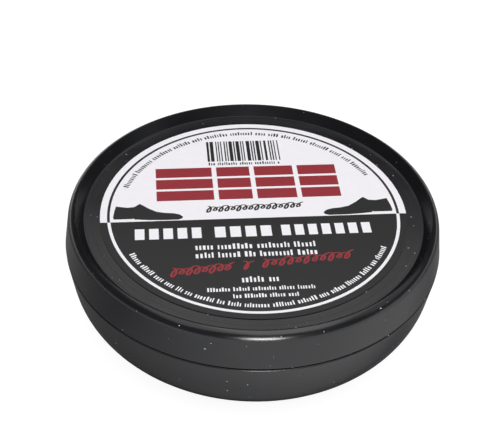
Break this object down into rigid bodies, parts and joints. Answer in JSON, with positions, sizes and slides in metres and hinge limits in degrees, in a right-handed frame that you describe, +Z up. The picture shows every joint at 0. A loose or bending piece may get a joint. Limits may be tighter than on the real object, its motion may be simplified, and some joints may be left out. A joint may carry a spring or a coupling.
{
  "type": "shoe polish jar",
  "caption": "Flat round plastic shoe polish jar with a smooth screw lid, recessed round label, foam seal and a fill of polish.",
  "frame": {"origin": "centre of the jar's foot ring, on the plane that it stands on", "axes": "+Z up along the axis of the jar and the lid's thread; -Y towards the bottom edge of the label"},
  "size_m": [0.092, 0.092, 0.0289],
  "materials": {
    "jar_plastic": "satin moulded black",
    "wax_polish": "soft waxy black cream",
    "seal_foam": "fine white foam",
    "lid_plastic": "satin moulded black with fine turned rings",
    "label_film": "printed film, white, black and red"
  },
  "bodies": {
    "jar": {"jar": "jar_plastic", "polish": "wax_polish"},
    "seal": {"lid_seal": "seal_foam"},
    "lid": {"lid": "lid_plastic", "label": "label_film"}
  },
  "joints": [
    {"name": "lid_lift", "type": "slide", "parent": "jar", "child": "seal", "axis": [0, 0, 1], "range_m": [0, 0.018]},
    {"name": "lid_turn", "type": "hinge", "parent": "seal", "child": "lid", "pos_m": [0, 0, 0.02485], "axis": [0, 0, 1], "range_deg": [0, 720]}
  ],
  "couplings": [
    {"joint": "lid_lift", "follows": "lid_turn", "m_per_rad": 0.0014324}
  ]
}
